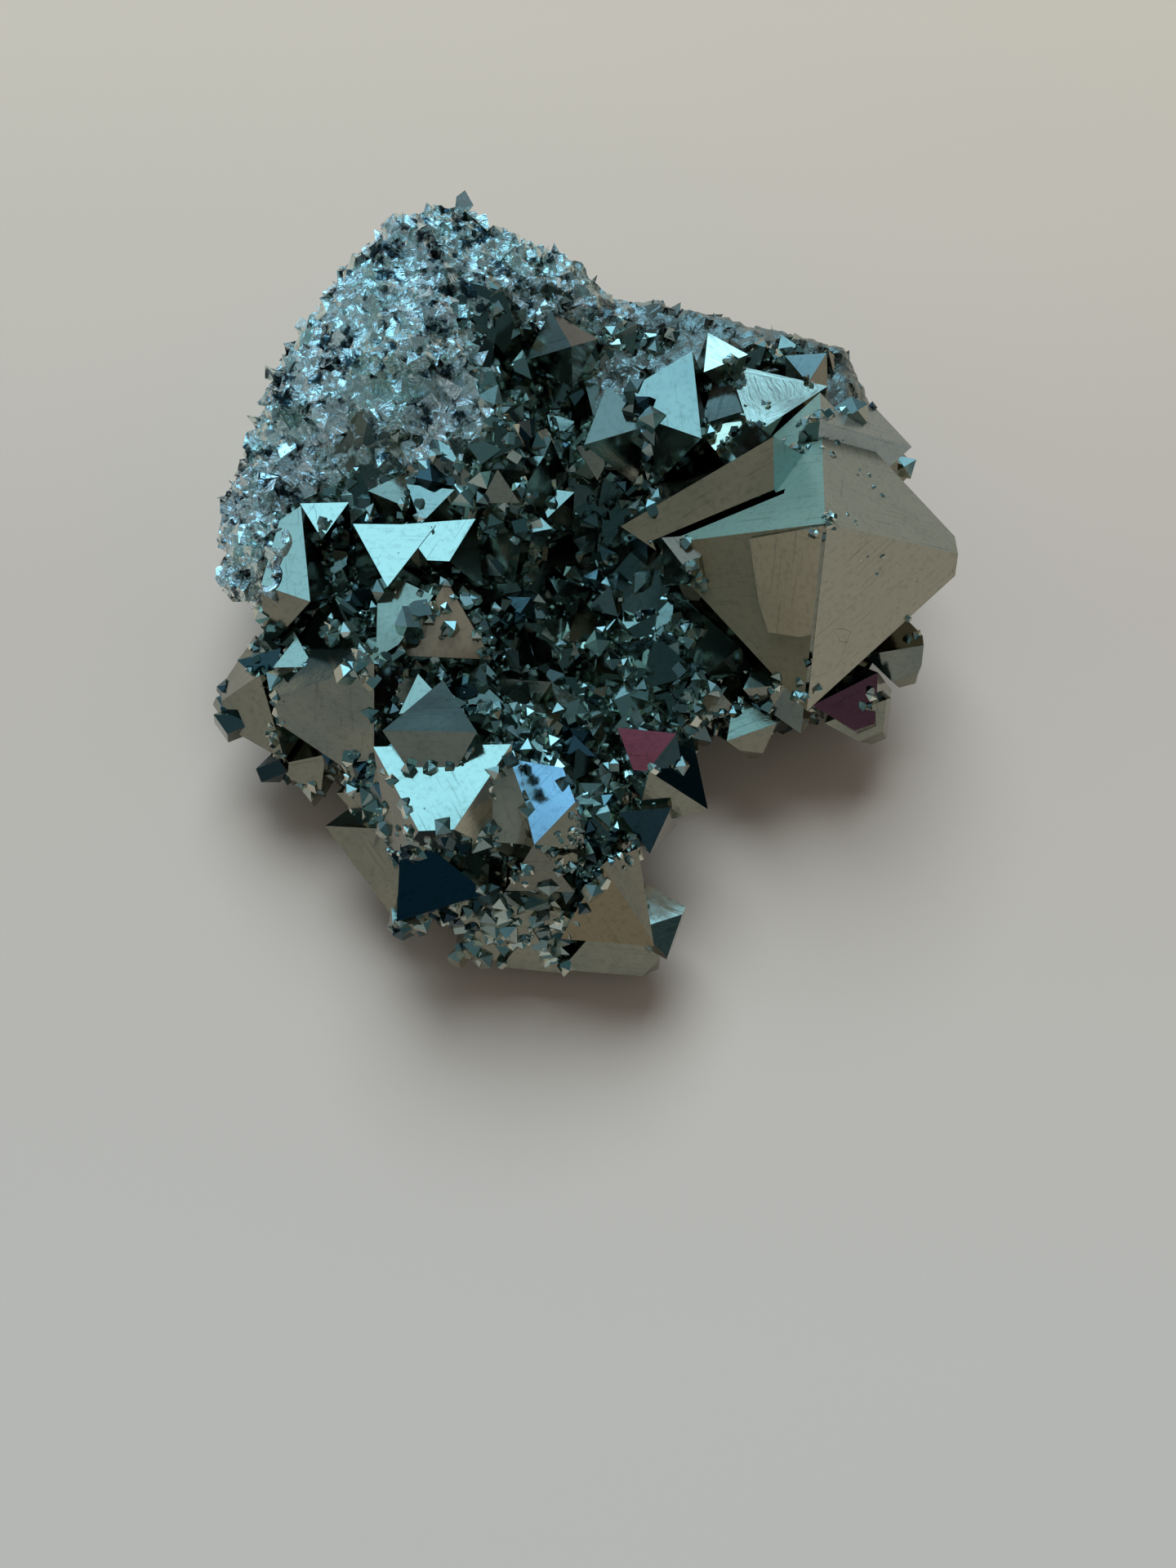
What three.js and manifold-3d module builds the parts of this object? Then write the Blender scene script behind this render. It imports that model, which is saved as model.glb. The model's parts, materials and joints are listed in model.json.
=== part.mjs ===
// A raw pyrite cluster: octahedral crystals of every size, grown into each other over one
// broken lump of pyrite. A granular crust covers the high shoulder at the back left, a dark
// hollow lined with small crystals lies in the middle, and one large crystal closes the right.
// Millimetres, +Z up. The cluster grew as one piece, so it is one solid.

import * as THREE from "three";
import { ConvexGeometry } from "three/addons/geometries/ConvexGeometry.js";
import { mergeVertices } from "three/addons/utils/BufferGeometryUtils.js";
import Module from "manifold-3d";

// ---------------------------------------------------------------- driving dimensions

// The lump's widest outline, seen from above, and the height of its rim there: x, y, z.
const OUTLINE = [
  [-10, 29.4, 8], [-2.6, 26.5, 8], [1.4, 23.4, 8.3], [5, 22, 8.6], [13.2, 19.6, 9],
  [18.6, 17, 9], [19.5, 10, 9], [19.4, 3, 8], [19, -2.6, 7], [16.3, -5.8, 6.5],
  [12.2, -6.9, 6.5], [6, -8, 7],
  [3.5, -13, 6], [2.5, -18, 5.5], [-1, -21.5, 5], [-7, -20.8, 5], [-11.5, -18.5, 5.5],
  [-14.5, -12.5, 6], [-18, -7.5, 6], [-19.5, -1, 7], [-22.6, 2.5, 8], [-22.2, 10.5, 8.5],
  [-18.7, 19.3, 9], [-14.7, 25.6, 9],
];
const MIDDLE = [-9, 0]; // the point that the lump's rings close in on

// Heights of the lump's upper surface: x, y, z.
const HEIGHTS = [
  [-11, 14, 18.5], [-10, 21, 16.5], [-17, 12, 15.5], [-4, 22, 15], [-7, 8, 15.5], [-16, 5, 11.2],
  [4, 17, 9.5], [10, 15, 12.5], [16, 14, 12.5], [-2, 15, 9], [2, 6, 6.5], [3, 0, 6], [7, 6, 8],
  [-3, -2, 8], [-10, -2, 12], [-15, -7, 10], [-9, -9, 10.8], [-7, -15, 12], [-1, -12, 10.5],
  [2, -8, 7.5], [-4, -18, 9], [9, -3, 7], [15, 4, 12],
];
const HEIGHT_FALLOFF = 4; // how sharply each height holds near its own point
const UNDERSIDE = [[0.985, 0.62], [0.93, 0.33], [0.84, 0.12], [0.74, 0]]; // shares of outline, of rim
const RING_STEPS = 30; // points round each ring
const TOP_RINGS = [0.975, 0.92, 0.84, 0.74, 0.62, 0.5, 0.37, 0.24, 0.11]; // share of the outline
const ROUGHNESS = 0.45; // how far a point of the lump strays from its smooth place

// The crystals that are large enough to be told apart. Each is an octahedron: size is from
// its centre to a corner, and top is its highest corner or the middle of its upward face.
// It is turned about its own upright axis, then leans by tilt degrees in the compass
// direction toward, counted from +X. Trims are further flat faces: none of the crystal
// reaches more than reach past top in the direction given in the same way.
const CRYSTALS = [
  // the right side: one large crystal, its parallel shoulder, and the blade grown into both
  { name: "giant", up: "corner", top: [14.1, -1.3, 22.9], size: 10.1, toward: 263, tilt: 17, turn: -3,
    trims: [{ toward: 0, tilt: 90, reach: 9.2 }] },
  { name: "shoulder", up: "corner", top: [14.4, 7.2, 19.8], size: 6.3, toward: 263, tilt: 17, turn: -3,
    trims: [{ toward: 129, tilt: 90, reach: 0.6 }] },
  { name: "blade", up: "face", top: [8.6, 1.8, 15.5], size: 8.6, toward: 232, tilt: 47, turn: 53 },
  { name: "giant_chip", up: "face", top: [6.5, 1, 14.9], size: 2.3, toward: 124, tilt: 8, turn: 32 },
  { name: "shoulder_low", up: "corner", top: [18.5, 8.3, 13.3], size: 3.2, toward: 263, tilt: 17, turn: -3,
    trims: [{ toward: 0, tilt: 90, reach: 2.7 }] },
  { name: "foot_mirror", up: "face", top: [10.3, -7.9, 8.6], size: 2.4, toward: 126, tilt: 7, turn: 110,
    trims: [{ toward: 274, tilt: 90, reach: 1.7 }] },
  { name: "foot_glint", up: "face", top: [11.4, -5.4, 9.8], size: 2, toward: 114, tilt: 8, turn: 95 },
  { name: "foot_left", up: "face", top: [12.9, -6.5, 8.2], size: 2.9, toward: 260, tilt: 41, turn: 53 },
  { name: "foot_tan", up: "face", top: [8.4, -7, 8.6], size: 2.2, toward: 263, tilt: 56, turn: 97 },
  { name: "foot_dark", up: "face", top: [17.3, -6.8, 8], size: 3.3, toward: 266, tilt: 40, turn: 58,
    trims: [{ toward: 284, tilt: 90, reach: 1.2 }] },
  { name: "foot_grey", up: "face", top: [18, -7.6, 6.8], size: 3.1, toward: 264, tilt: 60, turn: 57,
    trims: [{ toward: 284, tilt: 90, reach: 0.6 }, { toward: 0, tilt: 90, reach: 1.7 }] },
  { name: "foot_right", up: "face", top: [20.3, -4.2, 8.6], size: 3, toward: 263, tilt: 56, turn: 42,
    trims: [{ toward: 0, tilt: 90, reach: 1.3 }, { toward: 280, tilt: 90, reach: 0.6 }] },

  // the back right: pyramids over the edge of the hollow, and the striated plates
  { name: "bright_pyramid", up: "face", top: [5.2, 11.1, 15.9], size: 4.8, toward: 130, tilt: 8, turn: 64,
    trims: [{ toward: 200, tilt: 90, reach: 1.7 }] },
  { name: "teal_pyramid", up: "face", top: [9.2, 11.4, 15], size: 3.2, toward: 114, tilt: 18, turn: 108 },
  { name: "steel_pyramid", up: "face", top: [2, 11.1, 13.3], size: 3.3, toward: 153, tilt: 14, turn: 102 },
  { name: "brown_wedge", up: "face", top: [0.8, 9.8, 10.5], size: 1.9, toward: 255, tilt: 40, turn: 30 },
  { name: "green_plate", up: "face", top: [8.7, 8.8, 15.1], size: 2.3, toward: 134, tilt: 7, turn: 34 },
  { name: "striated", up: "face", top: [8.7, 14.5, 15.6], size: 2.2, toward: 119, tilt: 7, turn: 114 },
  { name: "foil_plate", up: "face", top: [11.8, 11.7, 15.2], size: 4.7, toward: 93, tilt: 16, turn: 11 },
  { name: "back_mirror", up: "face", top: [14.3, 14.2, 14.8], size: 1.9, toward: 119, tilt: 10, turn: 31 },
  { name: "back_box", up: "corner", top: [-3.8, 17.7, 17], size: 2.4, toward: 261, tilt: 24, turn: 37 },
  { name: "back_block", up: "corner", top: [-0.8, 15.6, 14.6], size: 2.6, toward: 300, tilt: 30, turn: 20 },

  // the left: bright plates stepped down from the crust
  { name: "left_plate", up: "face", top: [-19.3, 0.6, 14.4], size: 4.9, toward: 129, tilt: 5, turn: 68,
    trims: [{ toward: 169, tilt: 90, reach: 0.3 }] },
  { name: "left_tooth", up: "face", top: [-16.4, 3.9, 13.8], size: 2.2, toward: 114, tilt: 7, turn: 30 },
  { name: "cleft", up: "corner", top: [-14.9, 3.8, 12.5], size: 3.8, toward: 266, tilt: 35, turn: 40 },
  { name: "twin_plate_a", up: "face", top: [-11.9, 1.2, 15], size: 3.7, toward: 123, tilt: 7, turn: 27 },
  { name: "twin_plate_b", up: "face", top: [-9, 1.5, 15.1], size: 3.3, toward: 120, tilt: 7, turn: 33,
    trims: [{ toward: 265, tilt: 90, reach: 1.5 }] },
  { name: "bridge_bright", up: "face", top: [-9.8, 4.5, 14.8], size: 2.2, toward: 126, tilt: 7, turn: 20 },
  { name: "bridge_grey", up: "face", top: [-11.8, 5.5, 14.2], size: 2.3, toward: 121, tilt: 16, turn: 58 },
  { name: "grey_plate", up: "face", top: [-11.1, -3, 14.3], size: 4.2, toward: 193, tilt: 12, turn: 0,
    trims: [{ toward: 325, tilt: 90, reach: 1 }] },
  { name: "brown_dome", up: "face", top: [-8.5, -3.9, 13.2], size: 4, toward: 259, tilt: 38, turn: 87 },
  { name: "small_plate", up: "face", top: [-9.9, -8.6, 13.9], size: 2.1, toward: 116, tilt: 8, turn: 99 },

  // the lower left corner
  { name: "left_corner", up: "face", top: [-15.5, -9.2, 11.8], size: 6.5, toward: 254, tilt: 55, turn: 50,
    trims: [{ toward: 190, tilt: 90, reach: 3.4 }] },
  { name: "left_outer", up: "face", top: [-21.3, -7.6, 8.3], size: 4.4, toward: 241, tilt: 58, turn: 59,
    trims: [{ toward: 190, tilt: 90, reach: 1.6 }] },
  { name: "left_navy", up: "face", top: [-20.2, -5.1, 10.5], size: 2.1, toward: 262, tilt: 38, turn: 45 },
  { name: "left_mirror", up: "face", top: [-18, -5.2, 12.3], size: 1.8, toward: 124, tilt: 10, turn: 88 },
  { name: "maroon_face", up: "face", top: [-12.3, -7.4, 12], size: 3.1, toward: 267, tilt: 34, turn: 9 },
  { name: "corner_gem", up: "face", top: [-13.3, -11.5, 9], size: 2.1, toward: 265, tilt: 38, turn: 54 },
  { name: "lower_box", up: "face", top: [-14.3, -13.3, 8], size: 1.8, toward: 239, tilt: 57, turn: 34 },
  { name: "left_low", up: "face", top: [-18.1, -10.6, 5.5], size: 3.2, toward: 262, tilt: 62, turn: 46,
    trims: [{ toward: 255, tilt: 90, reach: 0.3 }] },

  // the front: the brightest plate, the tarnished one beside it, and the crystals below them
  { name: "bright_plate", up: "face", top: [-8.5, -15, 16.3], size: 5.9, toward: 158, tilt: 8, turn: 28,
    trims: [{ toward: 270, tilt: 90, reach: 3 }] },
  { name: "plate_step", up: "face", top: [-9, -13.5, 16.6], size: 4, toward: 259, tilt: 42, turn: 29 },
  { name: "tan_face", up: "face", top: [-5.1, -16.4, 14.6], size: 4.4, toward: 293, tilt: 48, turn: 84 },
  { name: "blue_plate", up: "face", top: [-2, -15.1, 14.9], size: 4.1, toward: 171, tilt: 18, turn: 14,
    trims: [{ toward: 18, tilt: 90, reach: 1.2 }] },
  { name: "navy_face", up: "face", top: [-9.4, -19.4, 11.2], size: 4.7, toward: 244, tilt: 46, turn: 108 },
  { name: "navy_rim", up: "face", top: [-11, -21.2, 8.2], size: 1.8, toward: 101, tilt: 18, turn: 8,
    trims: [{ toward: 267, tilt: 90, reach: 0.1 }] },
  { name: "front_kite", up: "face", top: [-2.7, -19.4, 12.2], size: 3, toward: 261, tilt: 55, turn: 90 },
  { name: "front_tooth", up: "face", top: [-2.7, -20.5, 10.5], size: 1.6, toward: 119, tilt: 8, turn: 20 },
  { name: "front_pyramid", up: "face", top: [1, -21.2, 9.6], size: 5, toward: 262, tilt: 56, turn: 86,
    trims: [{ toward: 10, tilt: 90, reach: 3 }, { toward: 141, tilt: 90, reach: 1.3 }] },
  { name: "front_foot", up: "face", top: [2.1, -22, 4.6], size: 5, toward: 264, tilt: 60, turn: 86,
    trims: [{ toward: 305, tilt: 90, reach: 1.9 }, { toward: 20, tilt: 90, reach: 2.4 }] },
  { name: "front_base", up: "face", top: [4.7, -20, 7.5], size: 2.6, toward: 88, tilt: 24, turn: 113,
    trims: [{ toward: 338, tilt: 90, reach: 1.5 }] },
  { name: "front_rim", up: "face", top: [-13, -16.8, 7.5], size: 5.1, toward: 228, tilt: 58, turn: 30 },
  { name: "rim_gem", up: "face", top: [-5.9, -20.9, 5.5], size: 2.7, toward: 262, tilt: 61, turn: 23 },
  { name: "rim_gem_left", up: "face", top: [-6.3, -21.7, 4.4], size: 2.8, toward: 261, tilt: 62, turn: 89 },
  { name: "rim_gem_right", up: "face", top: [-3.3, -22.3, 4.2], size: 2.8, toward: 265, tilt: 61, turn: 84 },

  // the hollow's lower right
  { name: "red_corner", up: "corner", top: [4, -12.8, 12.3], size: 3.4, toward: 205, tilt: 19, turn: 55 },
  { name: "red_plate", up: "face", top: [3.7, -11.3, 12.4], size: 2.7, toward: 202, tilt: 19, turn: 19,
    trims: [{ toward: 261, tilt: 90, reach: 1.4 }] },
  { name: "black_box", up: "face", top: [3.9, -15.3, 9.6], size: 2.3, toward: 261, tilt: 34, turn: 35 },
  { name: "hollow_wall", up: "face", top: [7, -2.7, 8], size: 5.4, toward: 190, tilt: 50, turn: 106 },
  { name: "hollow_black", up: "face", top: [-3.9, -6.7, 9.5], size: 2.6, toward: 265, tilt: 35, turn: 26 },
  { name: "hollow_pyramid", up: "face", top: [-2.6, -3.4, 9.6], size: 2.4, toward: 27, tilt: 39, turn: 12 },

  // the hollow's upper left
  { name: "hollow_tan", up: "face", top: [-5.3, 2.3, 11.8], size: 3, toward: 261, tilt: 55, turn: 46 },
  { name: "hollow_cap", up: "face", top: [-5.6, 4.4, 12.2], size: 2.1, toward: 125, tilt: 9, turn: 92 },
  { name: "hollow_chip", up: "face", top: [-3.7, 4.4, 11.9], size: 2.2, toward: 115, tilt: 7, turn: 101 },
  { name: "hollow_arrow", up: "face", top: [-2, 6, 11.9], size: 1.8, toward: 122, tilt: 9, turn: 18 },
  { name: "ringed", up: "face", top: [-4.3, 6.9, 13.6], size: 2.7, toward: 153, tilt: 18, turn: 32 },
];

// Rounded knobs of crust at the left edge: centre and radius.
const KNOBS = [
  [-21.4, 6.3, 11.6, 1.7], [-22.2, 4.2, 10.3, 1.6], [-22.2, 2, 9, 1.7], [-20, 1.2, 11.4, 1.5],
  [-20.3, 3.6, 11.9, 1.5], [-21.3, 2.8, 10.9, 1.6],
];

// A later layer of growth on the giant's front left face. Its outline is counted in shares
// of the two edges that run down from the giant's tip.
const TERRACE = {
  rise: 0.35,
  outline: [[0, 0], [0.4, 0.02], [0.32, 0.36], [0.25, 0.53], [0.06, 0.57], [0, 0.56]],
};

// Dark gaps: where the blade meets the giant, and along the giant's front edge.
const GAPS = [
  { from: [4.4, 2.1, 13.1], to: [12.2, 2.9, 18.9], width: 0.45, depth: 2.4, toward: 143, tilt: 45 },
  { from: [14.1, -1.6, 22.5], to: [13.9, -7.3, 11.3], width: 0.22, depth: 0.9, toward: 265, tilt: 65 },
];

// Patches of smaller crystals on the lump's upper surface: how many, between which sizes,
// and the stretches of x and y that they grow in.
const PATCHES = [
  { seed: 11, count: 50, size: [1.2, 2.6], x: [-6, 10], y: [-10, 15] }, // the hollow's lining
  { seed: 23, count: 14, size: [0.8, 1.4], x: [-23, 1], y: [7, 30] }, // out of the crust
  { seed: 31, count: 12, size: [1, 2], x: [-16, 3], y: [-22, -7] }, // between the front crystals
  { seed: 47, count: 12, size: [1, 1.9], x: [6, 20], y: [8, 20] }, // along the back rim
  { seed: 53, count: 11, size: [1.1, 2], x: [-3, 6], y: [12, 20] }, // the hollow's far end
];
const SIDE_PATCH = { seed: 71, count: 36, size: [1.2, 2.3] }; // all round the sides

// ---------------------------------------------------------------- tools

const wasm = await Module();
wasm.setup();

const radians = THREE.MathUtils.degToRad;

// The same run of numbers every time, from 0 to 1.
function randomFrom(seed) {
  let state = seed;
  return () => {
    state = (state + 0x6d2b79f5) | 0;
    let t = Math.imul(state ^ (state >>> 15), 1 | state);
    t = (t + Math.imul(t ^ (t >>> 7), 61 | t)) ^ t;
    return ((t ^ (t >>> 14)) >>> 0) / 4294967296;
  };
}

function solidOf(geometry) {
  geometry.deleteAttribute("normal");
  geometry.deleteAttribute("uv");
  const merged = mergeVertices(geometry, 1e-4);
  const vertProperties = merged.attributes.position.array;
  const triVerts = new Uint32Array(merged.index.array);
  return new wasm.Manifold(new wasm.Mesh({ numProp: 3, vertProperties, triVerts }));
}

// A unit direction that leans from straight up by tilt degrees toward a compass direction.
function direction(toward, tilt) {
  const lean = radians(tilt);
  const compass = radians(toward);
  return new THREE.Vector3(
    Math.sin(lean) * Math.cos(compass),
    Math.sin(lean) * Math.sin(compass),
    Math.cos(lean),
  );
}

// The convex solid inside a set of planes, each with its outward normal.
function insidePlanes(planes) {
  const corners = [];
  const solver = new THREE.Matrix3();
  for (let i = 0; i < planes.length; i++)
    for (let j = i + 1; j < planes.length; j++)
      for (let k = j + 1; k < planes.length; k++) {
        const [a, b, c] = [planes[i], planes[j], planes[k]];
        solver.set(...a.normal, ...b.normal, ...c.normal);
        if (Math.abs(solver.determinant()) < 1e-6) continue;
        const reach = new THREE.Vector3(-a.constant, -b.constant, -c.constant);
        const corner = reach.applyMatrix3(solver.invert());
        if (planes.every((p) => p.distanceToPoint(corner) < 1e-5)) corners.push(corner);
      }
  return new ConvexGeometry(corners);
}

// ---------------------------------------------------------------- one crystal

const FACE_NORMALS = [];
for (const x of [1, -1])
  for (const y of [1, -1])
    for (const z of [1, -1]) FACE_NORMALS.push(new THREE.Vector3(x, y, z).normalize());

// Turns an octahedron from standing on a corner to lying with one face up.
const FACE_UP = new THREE.Quaternion().setFromUnitVectors(
  new THREE.Vector3(1, 1, 1).normalize(),
  new THREE.Vector3(0, 0, 1),
);
const FACE_UP_ZERO = new THREE.Vector3(1, 0, 0).applyQuaternion(FACE_UP);
const FACE_UP_START = Math.atan2(FACE_UP_ZERO.y, FACE_UP_ZERO.x); // where turn 0 has a corner

function orientation({ up, toward, tilt, turn }) {
  const compass = radians(toward);
  const leanAxis = new THREE.Vector3(-Math.sin(compass), Math.cos(compass), 0);
  const lean = new THREE.Quaternion().setFromAxisAngle(leanAxis, radians(tilt));
  const spin = radians(turn) - (up === "face" ? FACE_UP_START : 0);
  const upright = new THREE.Vector3(0, 0, 1);
  lean.multiply(new THREE.Quaternion().setFromAxisAngle(upright, spin));
  return up === "face" ? lean.multiply(FACE_UP) : lean;
}

function centreOf({ up, top, size, toward, tilt }) {
  const drop = up === "face" ? size / Math.sqrt(3) : size;
  return new THREE.Vector3(...top).addScaledVector(direction(toward, tilt), -drop);
}

function crystal(spec) {
  const { size, trims = [] } = spec;
  const top = new THREE.Vector3(...spec.top);
  const centre = centreOf(spec);
  const turned = orientation(spec);
  const planes = FACE_NORMALS.map((n) => {
    const normal = n.clone().applyQuaternion(turned);
    return new THREE.Plane(normal, -normal.dot(centre) - size / Math.sqrt(3));
  });
  for (const trim of trims) {
    const normal = direction(trim.toward, trim.tilt);
    planes.push(new THREE.Plane(normal, -normal.dot(top) - trim.reach));
  }
  return insidePlanes(planes);
}

// A corner of a crystal, named by its own axis.
function cornerOf(spec, axis) {
  const reach = new THREE.Vector3(...axis).applyQuaternion(orientation(spec));
  return centreOf(spec).addScaledVector(reach, spec.size);
}

// A thin layer on the face between a crystal's tip and two of its other corners.
function terrace(spec, axes, { rise, outline }) {
  const tip = new THREE.Vector3(...spec.top);
  const [left, down] = axes.map((axis) => cornerOf(spec, axis).sub(tip));
  const out = left.clone().cross(down).normalize();
  const points = outline.flatMap(([a, b]) =>
    [-1, rise].map((lift) =>
      tip.clone().addScaledVector(left, a).addScaledVector(down, b).addScaledVector(out, lift),
    ),
  );
  return new ConvexGeometry(points);
}

// A straight narrow gap that faces a compass direction.
function gap({ from, to, width, depth, toward, tilt }) {
  const start = new THREE.Vector3(...from);
  const along = new THREE.Vector3(...to).sub(start);
  const length = along.length();
  const middle = start.clone().addScaledVector(along, 0.5);
  along.normalize();
  const across = direction(toward, tilt).cross(along).normalize();
  const out = along.clone().cross(across);
  const box = new THREE.BoxGeometry(length, width, depth);
  return box.applyMatrix4(new THREE.Matrix4().makeBasis(along, across, out).setPosition(middle));
}

// A small crystal at a point, turned at random, with its faces grown a little unevenly.
function smallCrystal(point, size, random) {
  const [x, y, z, w] = Array.from({ length: 4 }, () => random() - 0.5);
  const turned = new THREE.Quaternion(x, y, z, w).normalize();
  const planes = FACE_NORMALS.map((n) => {
    const normal = n.clone().applyQuaternion(turned);
    const reach = (size / Math.sqrt(3)) * (0.82 + 0.3 * random());
    return new THREE.Plane(normal, -normal.dot(point) - reach);
  });
  return insidePlanes(planes);
}

// ---------------------------------------------------------------- the lump

const rim = new THREE.CatmullRomCurve3(
  OUTLINE.map((p) => new THREE.Vector3(...p)),
  true,
);

function lumpHeight(x, y) {
  let sum = 0;
  let weights = 0;
  for (const [px, py, pz] of HEIGHTS) {
    const weight = 1 / (Math.hypot(x - px, y - py) + 0.5) ** HEIGHT_FALLOFF;
    sum += weight * pz;
    weights += weight;
  }
  return sum / weights;
}

// A point of the upper surface: share is 0 in the middle and 1 at the rim.
function upperPoint(round, share) {
  const edge = rim.getPoint(round);
  const x = MIDDLE[0] + share * (edge.x - MIDDLE[0]);
  const y = MIDDLE[1] + share * (edge.y - MIDDLE[1]);
  const fall = Math.sqrt(1 - share ** 6);
  return new THREE.Vector3(x, y, edge.z + (lumpHeight(x, y) - edge.z) * fall);
}

function underPoint(round, [share, heightShare]) {
  const edge = rim.getPoint(round);
  const x = MIDDLE[0] + share * (edge.x - MIDDLE[0]);
  const y = MIDDLE[1] + share * (edge.y - MIDDLE[1]);
  return new THREE.Vector3(x, y, edge.z * heightShare);
}

function lumpGeometry() {
  const random = randomFrom(5);
  const stray = () => (random() - 0.5) * 2 * ROUGHNESS;
  const rings = [];
  const under = [...UNDERSIDE].reverse();
  for (const level of under) rings.push((round) => underPoint(round, level));
  rings.push((round) => upperPoint(round, 1));
  for (const share of TOP_RINGS) rings.push((round) => upperPoint(round, share));
  const points = [new THREE.Vector3(...MIDDLE, 0)];
  rings.forEach((ring, level) => {
    for (let i = 0; i < RING_STEPS; i++) {
      const point = ring(i / RING_STEPS);
      if (level > 0) point.add(new THREE.Vector3(stray(), stray(), stray()));
      points.push(point);
    }
  });
  points.push(new THREE.Vector3(...MIDDLE, lumpHeight(...MIDDLE)));
  const faces = [];
  const at = (ring, i) => 1 + ring * RING_STEPS + (i % RING_STEPS);
  const last = points.length - 1;
  // the outline runs clockwise seen from above, so each quad is wound to face outwards
  for (let i = 0; i < RING_STEPS; i++) {
    faces.push(0, at(0, i), at(0, i + 1));
    for (let r = 0; r + 1 < rings.length; r++) {
      faces.push(at(r, i), at(r + 1, i), at(r + 1, i + 1));
      faces.push(at(r, i), at(r + 1, i + 1), at(r, i + 1));
    }
    faces.push(at(rings.length - 1, i), last, at(rings.length - 1, i + 1));
  }
  const geometry = new THREE.BufferGeometry().setFromPoints(points);
  return geometry.setIndex(faces);
}

function knob([x, y, z, radius]) {
  return new THREE.IcosahedronGeometry(radius, 1).translate(x, y, z);
}

// ---------------------------------------------------------------- the small crystals

function patchCrystals({ seed, count, size, x, y }) {
  const random = randomFrom(seed);
  const made = [];
  while (made.length < count) {
    const point = upperPoint(random(), Math.sqrt(random()) * 0.98);
    const inside = point.x > x[0] && point.x < x[1] && point.y > y[0] && point.y < y[1];
    if (!inside) continue;
    const across = size[0] + (size[1] - size[0]) * random() ** 2;
    made.push(smallCrystal(point, across, random));
  }
  return made;
}

function sideCrystals({ seed, count, size }) {
  const random = randomFrom(seed);
  const made = [];
  for (let i = 0; i < count; i++) {
    const across = size[0] + (size[1] - size[0]) * random() ** 2;
    const point = underPoint(random(), [0.94 - 0.05 * random(), 0.35 + 0.5 * random()]);
    point.z = Math.max(point.z, across * 0.8);
    made.push(smallCrystal(point, across, random));
  }
  return made;
}

// ---------------------------------------------------------------- the cluster

let cluster = solidOf(lumpGeometry());
const giant = CRYSTALS.find((spec) => spec.name === "giant");
const GIANT_LEFT = [-1, 0, 0];
const GIANT_FRONT = [0, -1, 0];
const grown = [
  ...CRYSTALS.map(crystal),
  terrace(giant, [GIANT_LEFT, GIANT_FRONT], TERRACE),
  ...KNOBS.map(knob),
  ...PATCHES.flatMap(patchCrystals),
  ...sideCrystals(SIDE_PATCH),
];
for (const geometry of grown) cluster = cluster.add(solidOf(geometry));
for (const opening of GAPS) cluster = cluster.subtract(solidOf(gap(opening)));

// Everything below the surface that it stands on is cut away flat.
const DEPTH = 20;
const below = new THREE.BoxGeometry(100, 100, DEPTH).translate(0, 0, -DEPTH / 2);
cluster = cluster.subtract(solidOf(below.toNonIndexed()));

// Crystals that the cut left loose are dropped.
cluster = cluster.decompose().sort((a, b) => b.volume() - a.volume())[0];

const made = cluster.getMesh();
const geometry = new THREE.BufferGeometry();
geometry.setAttribute("position", new THREE.BufferAttribute(made.vertProperties, 3));
geometry.setIndex(new THREE.BufferAttribute(made.triVerts, 1));
geometry.computeBoundingBox();
const box = geometry.boundingBox;

const pyrite = new THREE.MeshStandardMaterial({ color: 0xbdb7a4, roughness: 0.22, metalness: 1 });
const mesh = new THREE.Mesh(geometry, pyrite);
mesh.name = "pyrite_cluster";
mesh.position.set(-(box.min.x + box.max.x) / 2, -(box.min.y + box.max.y) / 2, -box.min.z);

const group = new THREE.Group();
group.add(mesh);
export default group;
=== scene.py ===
import json
import math

import bmesh
import bpy
import numpy as np
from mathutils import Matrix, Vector, kdtree

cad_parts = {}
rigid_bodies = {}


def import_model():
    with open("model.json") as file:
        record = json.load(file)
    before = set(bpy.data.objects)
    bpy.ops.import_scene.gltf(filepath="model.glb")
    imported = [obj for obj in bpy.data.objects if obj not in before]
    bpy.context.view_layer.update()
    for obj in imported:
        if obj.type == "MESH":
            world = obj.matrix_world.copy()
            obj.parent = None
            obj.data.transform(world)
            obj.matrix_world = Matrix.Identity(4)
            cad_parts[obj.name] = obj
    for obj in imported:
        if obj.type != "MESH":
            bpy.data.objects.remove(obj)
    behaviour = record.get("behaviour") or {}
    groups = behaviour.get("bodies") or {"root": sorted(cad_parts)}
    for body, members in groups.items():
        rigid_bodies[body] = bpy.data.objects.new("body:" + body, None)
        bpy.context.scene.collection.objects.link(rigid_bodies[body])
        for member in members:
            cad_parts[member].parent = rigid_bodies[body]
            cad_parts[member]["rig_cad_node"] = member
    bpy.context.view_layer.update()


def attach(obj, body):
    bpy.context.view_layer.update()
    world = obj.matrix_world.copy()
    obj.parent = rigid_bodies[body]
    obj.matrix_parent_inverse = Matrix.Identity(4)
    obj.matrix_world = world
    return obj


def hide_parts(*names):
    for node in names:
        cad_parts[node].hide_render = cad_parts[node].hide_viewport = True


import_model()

# ---------------------------------------------------------------- the solid cluster
# Raw pyrite: octahedra grown into each other over one lump of the same mineral, so the
# whole cluster is one piece. The large crystals keep flat, mirror-like faces. The lump
# between them shows only as broken ground under the crust and the fine crystals.

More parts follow.
